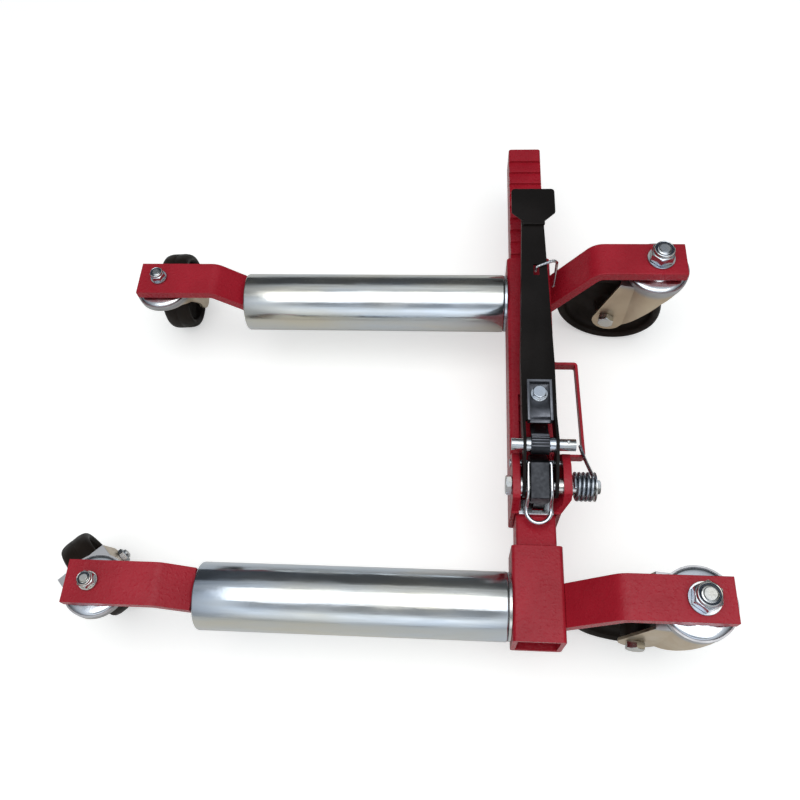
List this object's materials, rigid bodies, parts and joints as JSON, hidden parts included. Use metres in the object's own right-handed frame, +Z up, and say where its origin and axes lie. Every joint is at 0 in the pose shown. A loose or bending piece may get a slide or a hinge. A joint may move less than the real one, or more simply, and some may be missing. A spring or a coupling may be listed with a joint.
{
  "type": "ratcheting wheel dolly",
  "caption": "Foot-operated wheel dolly on swivel casters: a pedal ratchets a toothed square bar through a tube and closes two rollers under a tyre.",
  "frame": {"origin": "on the floor under the middle of the whole object's box at rest, with the rollers closed", "axes": "+X along the rollers from their outer ends to the beam and the big casters, +Y along the beam to the pedal's foot pad and the ratchet bar's free end, +Z up"},
  "size_m": [0.6788, 0.6194, 0.1707],
  "materials": {
    "red_paint": "glossy powder coat",
    "black_paint": "semi-gloss black coat on pressed steel",
    "bright_zinc": "bright zinc plate with a faint blue and yellow tint",
    "roller_zinc": "zinc plated steel tube with fine lines around it",
    "spring_steel": "zinc plated round wire",
    "ball_steel": "polished hardened balls",
    "wheel_plastic": "moulded hard black plastic",
    "bush_plastic": "moulded black bush"
  },
  "bodies": {
    "rear_frame": {"outer_tube": "red_paint", "left_ear": "red_paint", "right_ear": "red_paint", "guide_plate": "bright_zinc", "pivot_bolt": "bright_zinc", "pivot_spacers": "bright_zinc", "torsion_spring": "spring_steel", "spring_end_screw": "bright_zinc", "spring_strap": "red_paint", "pawl_pin": "bright_zinc", "rear_axle": "bright_zinc", "rear_collar": "bright_zinc", "rear_left_arm": "red_paint", "rear_right_arm": "red_paint", "rear_kingpins": "bright_zinc", "rear_kingpin_nuts": "bright_zinc", "rear_left_race": "bright_zinc", "rear_right_race": "bright_zinc", "rear_swivel_balls": "ball_steel"},
    "front_frame": {"ratchet_bar": "red_paint", "front_socket": "red_paint", "front_axle": "bright_zinc", "front_collar": "bright_zinc", "front_left_arm": "red_paint", "front_right_arm": "red_paint", "front_kingpins": "bright_zinc", "front_kingpin_nuts": "bright_zinc", "front_left_race": "bright_zinc", "front_right_race": "bright_zinc", "front_swivel_balls": "ball_steel"},
    "rear_roller_set": {"rear_roller": "roller_zinc", "rear_roller_bushes": "bush_plastic"},
    "front_roller_set": {"front_roller": "roller_zinc", "front_roller_bushes": "bush_plastic"},
    "rear_left_caster": {"rear_left_fork": "bright_zinc", "rear_left_axle_bolt": "bright_zinc", "rear_left_hub_sleeve": "bright_zinc"},
    "rear_left_wheel_set": {"rear_left_wheel": "wheel_plastic"},
    "rear_right_caster": {"rear_right_fork": "bright_zinc", "rear_right_axle_bolt": "bright_zinc", "rear_right_hub_sleeve": "bright_zinc"},
    "rear_right_wheel_set": {"rear_right_wheel": "wheel_plastic"},
    "front_left_caster": {"front_left_fork": "bright_zinc", "front_left_axle_bolt": "bright_zinc", "front_left_hub_sleeve": "bright_zinc"},
    "front_left_wheel_set": {"front_left_wheel": "wheel_plastic"},
    "front_right_caster": {"front_right_fork": "bright_zinc", "front_right_axle_bolt": "bright_zinc", "front_right_hub_sleeve": "bright_zinc"},
    "front_right_wheel_set": {"front_right_wheel": "wheel_plastic"},
    "pedal": {"pedal_arm": "black_paint", "foot_pad": "black_paint", "pawl_bracket": "black_paint", "bracket_bolt": "bright_zinc", "cross_pin": "bright_zinc"},
    "drive_pawl_set": {"drive_pawl": "black_paint"},
    "holding_pawl_set": {"holding_pawl": "black_paint", "release_bail": "bright_zinc"},
    "hook": {"latch_hook": "bright_zinc"}
  },
  "joints": [
    {"name": "beam_slide", "type": "slide", "parent": "rear_frame", "child": "front_frame", "axis": [0, -1, 0], "range_m": [0, 0.2405]},
    {"name": "rear_roller_spin", "type": "hinge", "parent": "rear_frame", "child": "rear_roller_set", "pos_m": [-0.0165, 0.08325, 0.086], "axis": [1, 0, 0], "continuous": true},
    {"name": "front_roller_spin", "type": "hinge", "parent": "front_frame", "child": "front_roller_set", "pos_m": [-0.0165, -0.27275, 0.086], "axis": [1, 0, 0], "continuous": true},
    {"name": "rear_left_swivel", "type": "hinge", "parent": "rear_frame", "child": "rear_left_caster", "pos_m": [-0.269, 0.08705, 0.1183], "axis": [0, 0, 1], "continuous": true},
    {"name": "rear_left_wheel_spin", "type": "hinge", "parent": "rear_left_caster", "child": "rear_left_wheel_set", "pos_m": [-0.27138, 0.12598, 0.047], "axis": [-0.9981, -0.061, 0], "continuous": true},
    {"name": "rear_right_swivel", "type": "hinge", "parent": "rear_frame", "child": "rear_right_caster", "pos_m": [0.3058, 0.09955, 0.1397], "axis": [0, 0, 1], "continuous": true},
    {"name": "rear_right_wheel_spin", "type": "hinge", "parent": "rear_right_caster", "child": "rear_right_wheel_set", "pos_m": [0.26452, 0.10728, 0.0615], "axis": [-0.184, -0.9829, 0], "continuous": true},
    {"name": "front_left_swivel", "type": "hinge", "parent": "front_frame", "child": "front_left_caster", "pos_m": [-0.269, -0.27255, 0.1183], "axis": [0, 0, 1], "continuous": true},
    {"name": "front_left_wheel_spin", "type": "hinge", "parent": "front_left_caster", "child": "front_left_wheel_set", "pos_m": [-0.29638, -0.24478, 0.047], "axis": [-0.712, -0.7022, 0], "continuous": true},
    {"name": "front_right_swivel", "type": "hinge", "parent": "front_frame", "child": "front_right_caster", "pos_m": [0.3058, -0.27445, 0.1397], "axis": [0, 0, 1], "continuous": true},
    {"name": "front_right_wheel_spin", "type": "hinge", "parent": "front_right_caster", "child": "front_right_wheel_set", "pos_m": [0.26398, -0.27057, 0.0615], "axis": [-0.0924, -0.9957, 0], "continuous": true},
    {"name": "pedal_hinge", "type": "hinge", "parent": "rear_frame", "child": "pedal", "pos_m": [0.167, -0.16315, 0.13], "axis": [1, 0, 0], "range_deg": [0, 45]},
    {"name": "drive_pawl_hinge", "type": "hinge", "parent": "pedal", "child": "drive_pawl_set", "pos_m": [0.167, -0.12755, 0.15], "axis": [1, 0, 0], "range_deg": [-60, 0]},
    {"name": "holding_pawl_hinge", "type": "hinge", "parent": "rear_frame", "child": "holding_pawl_set", "pos_m": [0.16625, -0.13475, 0.119], "axis": [-1, 0, 0], "range_deg": [-4.5, 10]},
    {"name": "hook_hinge", "type": "hinge", "parent": "pedal", "child": "hook", "pos_m": [0.169, 0.08775, 0.1485], "axis": [0, -1, 0], "range_deg": [0, 45]}
  ],
  "couplings": [
    {"joint": "drive_pawl_hinge", "follows": "pedal_hinge", "ratio": -1.324}
  ]
}
